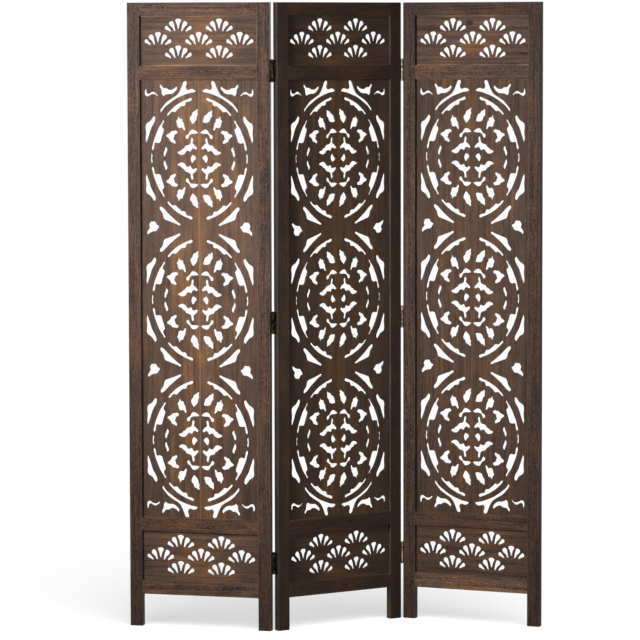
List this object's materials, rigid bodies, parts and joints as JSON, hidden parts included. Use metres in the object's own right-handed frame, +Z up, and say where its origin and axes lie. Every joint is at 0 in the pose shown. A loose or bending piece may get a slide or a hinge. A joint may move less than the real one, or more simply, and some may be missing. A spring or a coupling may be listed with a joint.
{
  "type": "folding room divider screen",
  "caption": "Free-standing folding screen of hinged wooden leaves, with pierced panels of oval floral medallions and small fans.",
  "frame": {"origin": "on the floor, under the middle of the standing screen's plan", "axes": "+X along the screen to the right as seen from the front, -Y out of the front, +Z up"},
  "size_m": [1.1244, 0.2483, 1.7],
  "materials": {
    "dark_wood": "dark walnut stain, satin, fine straight grain",
    "hinge_metal": "antique brass, darkened, bright where the knuckles rub",
    "screw_metal": "antique brass"
  },
  "bodies": {
    "left_leaf": {"left_leaf_left_stile": "dark_wood", "left_leaf_right_stile": "dark_wood", "left_leaf_top_rail": "dark_wood", "left_leaf_upper_middle_rail": "dark_wood", "left_leaf_lower_middle_rail": "dark_wood", "left_leaf_bottom_rail": "dark_wood", "left_leaf_top_fret": "dark_wood", "left_leaf_centre_fret": "dark_wood", "left_leaf_bottom_fret": "dark_wood", "left_fold_bottom_hinge_left_plate": "hinge_metal", "left_fold_middle_hinge_left_plate": "hinge_metal", "left_fold_top_hinge_left_plate": "hinge_metal", "left_fold_left_screws": "screw_metal"},
    "middle_leaf": {"middle_leaf_left_stile": "dark_wood", "middle_leaf_right_stile": "dark_wood", "middle_leaf_top_rail": "dark_wood", "middle_leaf_upper_middle_rail": "dark_wood", "middle_leaf_lower_middle_rail": "dark_wood", "middle_leaf_bottom_rail": "dark_wood", "middle_leaf_top_fret": "dark_wood", "middle_leaf_centre_fret": "dark_wood", "middle_leaf_bottom_fret": "dark_wood", "left_fold_bottom_hinge_middle_plate": "hinge_metal", "left_fold_middle_hinge_middle_plate": "hinge_metal", "left_fold_top_hinge_middle_plate": "hinge_metal", "right_fold_bottom_hinge_middle_plate": "hinge_metal", "right_fold_middle_hinge_middle_plate": "hinge_metal", "right_fold_top_hinge_middle_plate": "hinge_metal", "left_fold_middle_screws": "screw_metal", "right_fold_middle_screws": "screw_metal", "left_fold_bottom_hinge_pin": "hinge_metal", "left_fold_middle_hinge_pin": "hinge_metal", "left_fold_top_hinge_pin": "hinge_metal", "right_fold_bottom_hinge_pin": "hinge_metal", "right_fold_middle_hinge_pin": "hinge_metal", "right_fold_top_hinge_pin": "hinge_metal"},
    "right_leaf": {"right_leaf_left_stile": "dark_wood", "right_leaf_right_stile": "dark_wood", "right_leaf_top_rail": "dark_wood", "right_leaf_upper_middle_rail": "dark_wood", "right_leaf_lower_middle_rail": "dark_wood", "right_leaf_bottom_rail": "dark_wood", "right_leaf_top_fret": "dark_wood", "right_leaf_centre_fret": "dark_wood", "right_leaf_bottom_fret": "dark_wood", "right_fold_bottom_hinge_right_plate": "hinge_metal", "right_fold_middle_hinge_right_plate": "hinge_metal", "right_fold_top_hinge_right_plate": "hinge_metal", "right_fold_right_screws": "screw_metal"}
  },
  "joints": [
    {"name": "left_fold", "type": "hinge", "parent": "middle_leaf", "child": "left_leaf", "pos_m": [-0.16617, -0.10329, 0.85], "axis": [0, 0, 1], "range_deg": [-132.6, 47.4]},
    {"name": "right_fold", "type": "hinge", "parent": "middle_leaf", "child": "right_leaf", "pos_m": [0.18046, 0.10449, 0.85], "axis": [0, 0, 1], "range_deg": [-124.2, 55.8]}
  ]
}
